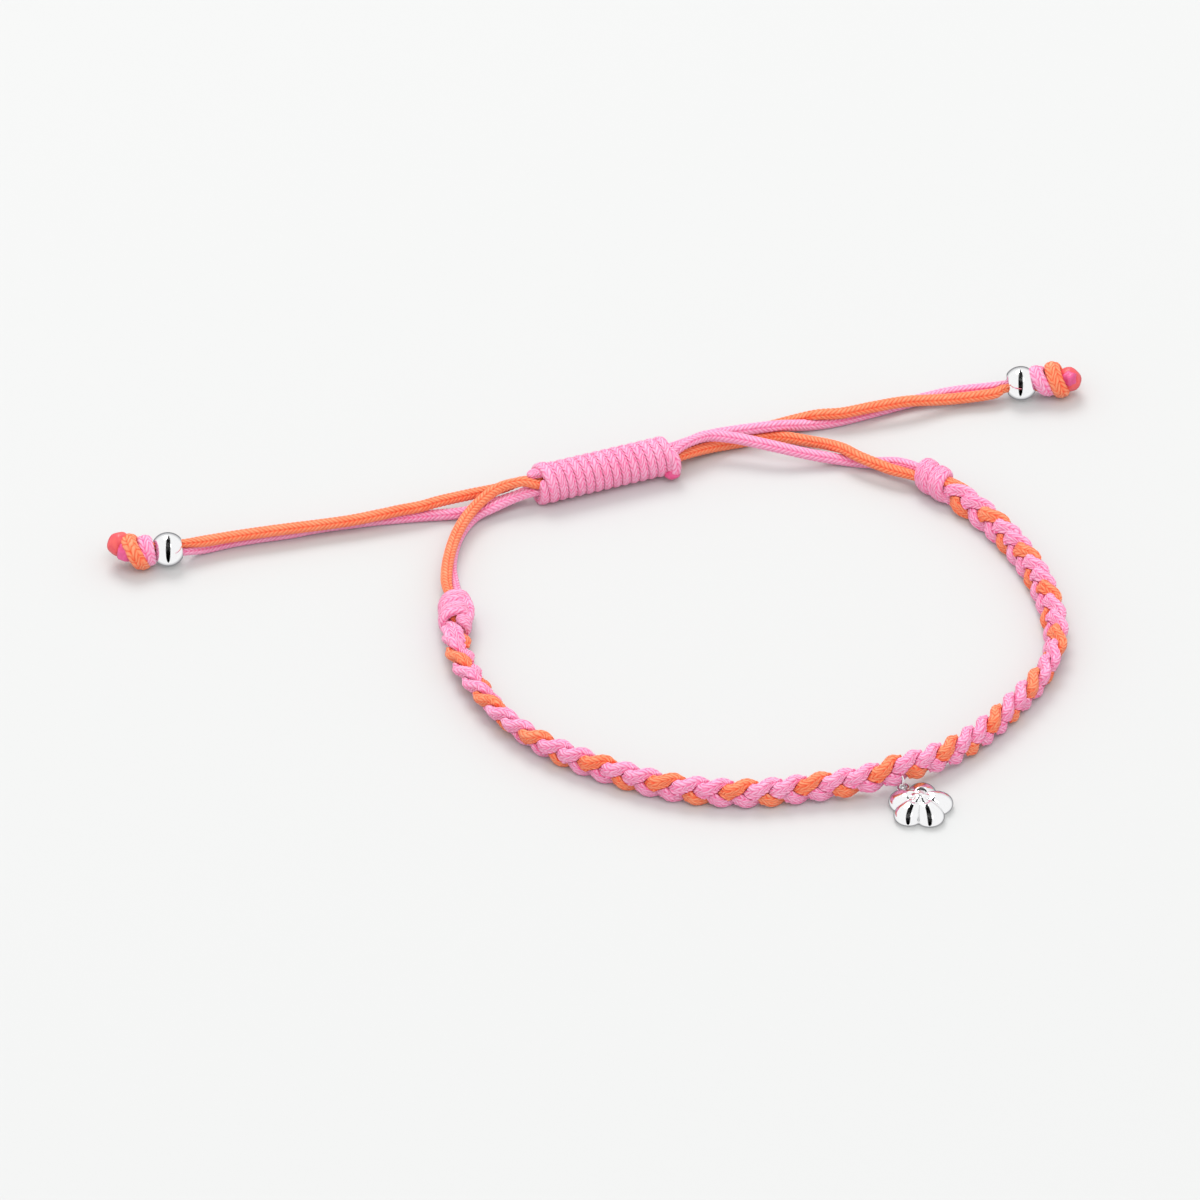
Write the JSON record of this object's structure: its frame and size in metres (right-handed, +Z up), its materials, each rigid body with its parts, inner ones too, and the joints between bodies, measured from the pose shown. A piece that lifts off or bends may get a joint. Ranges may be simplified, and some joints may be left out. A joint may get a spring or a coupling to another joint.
{
  "type": "plaited cord bracelet",
  "caption": "Plaited two-colour cord bracelet with a sliding knot, beaded free ends and a small metal flower charm on a jump ring, lying flat.",
  "frame": {"origin": "on the surface that the bracelet lies on, under the middle of its loop", "axes": "+Z up from the surface, through the loop; +X to the right and +Y to the back as seen by the camera of the picture, with the sliding knot at the back of the loop"},
  "size_m": [0.0867, 0.0633, 0.0034],
  "materials": {
    "pink_cord": "satin braided nylon cord",
    "orange_cord": "satin braided nylon cord",
    "coral_knot": "braided nylon cord with a melted, smooth tip",
    "silver": "polished silver"
  },
  "bodies": {
    "root": {"braid_strand_pink_1": "pink_cord", "braid_strand_pink_2": "pink_cord", "braid_strand_orange": "orange_cord", "right_braid_knot": "pink_cord", "left_braid_knot": "pink_cord", "sliding_knot": "pink_cord", "loop_cord_orange_left": "orange_cord", "loop_cord_pink_left": "pink_cord", "loop_cord_orange_right": "orange_cord", "loop_cord_pink_right": "pink_cord", "tail_cord_orange_left": "orange_cord", "tail_cord_pink_left": "pink_cord", "tail_cord_orange_right": "orange_cord", "tail_cord_pink_right": "pink_cord", "left_bead": "silver", "right_bead": "silver", "left_end_knot": "coral_knot", "right_end_knot": "coral_knot", "jump_ring": "silver", "charm": "silver"}
  },
  "joints": []
}
